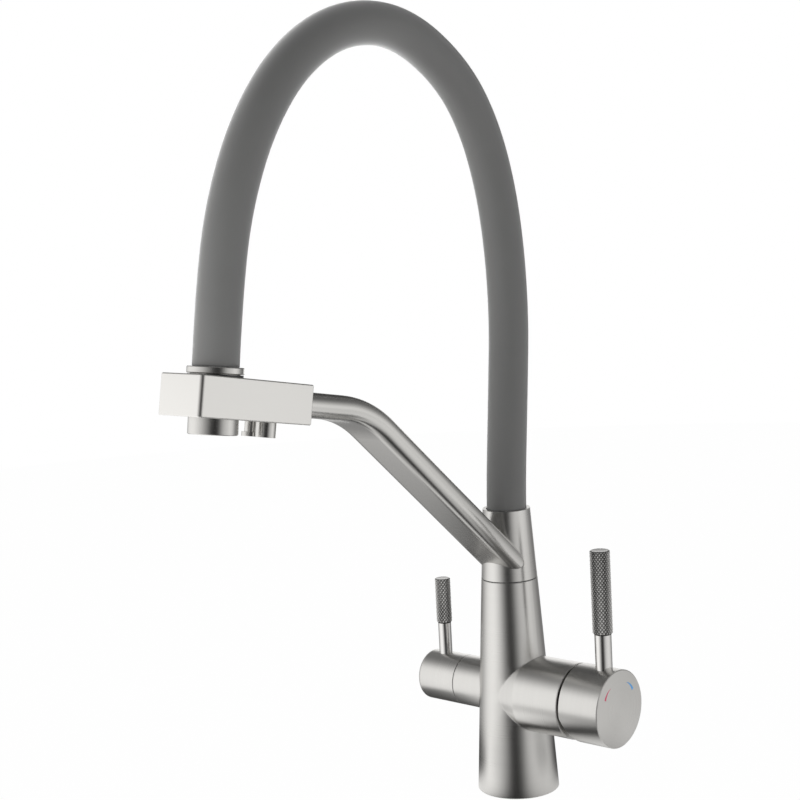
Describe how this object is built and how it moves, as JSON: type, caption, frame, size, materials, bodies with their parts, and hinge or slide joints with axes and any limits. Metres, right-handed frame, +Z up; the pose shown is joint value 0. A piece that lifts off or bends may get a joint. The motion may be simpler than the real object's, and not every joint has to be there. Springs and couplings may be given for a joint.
{
  "type": "kitchen filter tap",
  "caption": "Tall kitchen tap with a mixer lever, a filtered-water lever, a swivel arm with a holder block, and a grey hose arching over to a pull-out head.",
  "frame": {"origin": "centre of the foot's underside, on the worktop", "axes": "+Z up, mixer barrel along +X, filter barrel along -X, spout along -Y"},
  "size_m": [0.1441, 0.2781, 0.4724],
  "materials": {
    "brushed_steel": "satin brushed stainless steel",
    "polished_steel": "polished stainless steel",
    "knurled_steel": "diamond-knurled stainless steel",
    "plain_steel": "plain machined steel",
    "brass": "plain machined brass",
    "black_rubber": "black rubber",
    "grey_silicone": "matt dark grey silicone",
    "braided_hose": "braided water hose",
    "black_plastic": "black plastic",
    "white_plastic": "white plastic",
    "ceramic": "white alumina ceramic",
    "red_enamel": "red enamel",
    "blue_enamel": "blue enamel"
  },
  "bodies": {
    "tap_body": {"body_casting": "brushed_steel", "inlet_insert": "brass", "base_gasket": "black_rubber", "cartridge_port_seals": "black_rubber", "cartridge_base": "white_plastic", "fixed_ceramic_disc": "ceramic", "cartridge_shell": "white_plastic", "cartridge_nut": "brass", "dust_ring": "black_plastic", "filter_valve_seal": "black_rubber", "filter_valve_body": "brass", "fixed_valve_disc": "ceramic", "swivel_ring": "black_plastic", "retaining_screw": "plain_steel"},
    "mixer_rotor": {"cartridge_carrier": "white_plastic", "pivot_pin": "plain_steel"},
    "mixing_disc": {"moving_ceramic_disc": "ceramic"},
    "mixer_handle": {"mixer_spindle": "plain_steel", "mixer_cap": "brushed_steel", "hot_mark": "red_enamel", "cold_mark": "blue_enamel", "mixer_grub_screw": "plain_steel", "mixer_lever_rod": "polished_steel", "mixer_grip": "knurled_steel"},
    "filter_handle": {"moving_valve_disc": "ceramic", "filter_spindle": "brass", "filter_spindle_seal": "black_rubber", "filter_cap": "brushed_steel", "filter_grub_screw": "plain_steel", "filter_lever_rod": "polished_steel", "filter_grip": "knurled_steel"},
    "spout": {"swivel_spigot": "brass", "spigot_seals": "black_rubber", "spout_sleeve": "brushed_steel", "support_arm": "brushed_steel", "filter_tube": "white_plastic", "holder_block": "brushed_steel", "holder_bush": "black_plastic", "filter_outlet": "brushed_steel", "outlet_insert": "white_plastic", "side_outlet": "brushed_steel", "hose_nut": "brass", "hose_seat": "black_plastic", "hose_sleeve": "grey_silicone", "inner_hose": "braided_hose"},
    "head": {"hose_collar": "brushed_steel", "nozzle_body": "brushed_steel", "hose_nipple": "brass", "aerator_housing": "brushed_steel", "aerator_core": "white_plastic", "nozzle_washer": "black_rubber", "check_valve": "white_plastic"}
  },
  "joints": [
    {"name": "spout_swivel", "type": "hinge", "parent": "tap_body", "child": "spout", "pos_m": [0, 0, 0.1325], "axis": [0, 0, 1], "continuous": true},
    {"name": "head_lift", "type": "slide", "parent": "spout", "child": "head", "axis": [0, 0.1461, 0.9893], "range_m": [0, 0.04], "deforming": ["hose_sleeve", "inner_hose"]},
    {"name": "mixer_temperature", "type": "hinge", "parent": "tap_body", "child": "mixer_rotor", "pos_m": [0.038, 0, 0.0618], "axis": [1, 0, 0], "range_deg": [-45, 45]},
    {"name": "mixer_flow", "type": "hinge", "parent": "mixer_rotor", "child": "mixer_handle", "pos_m": [0.038, 0, 0.0618], "axis": [0, 1, 0], "range_deg": [0, 16]},
    {"name": "disc_slide", "type": "slide", "parent": "mixer_rotor", "child": "mixing_disc", "axis": [0, 0, 1], "range_m": [0, 0.0036]},
    {"name": "filter_valve", "type": "hinge", "parent": "tap_body", "child": "filter_handle", "pos_m": [-0.0544, 0, 0.0618], "axis": [1, 0, 0], "range_deg": [0, 90]}
  ],
  "couplings": [
    {"joint": "disc_slide", "follows": "mixer_flow", "m_per_rad": 0.0128}
  ]
}
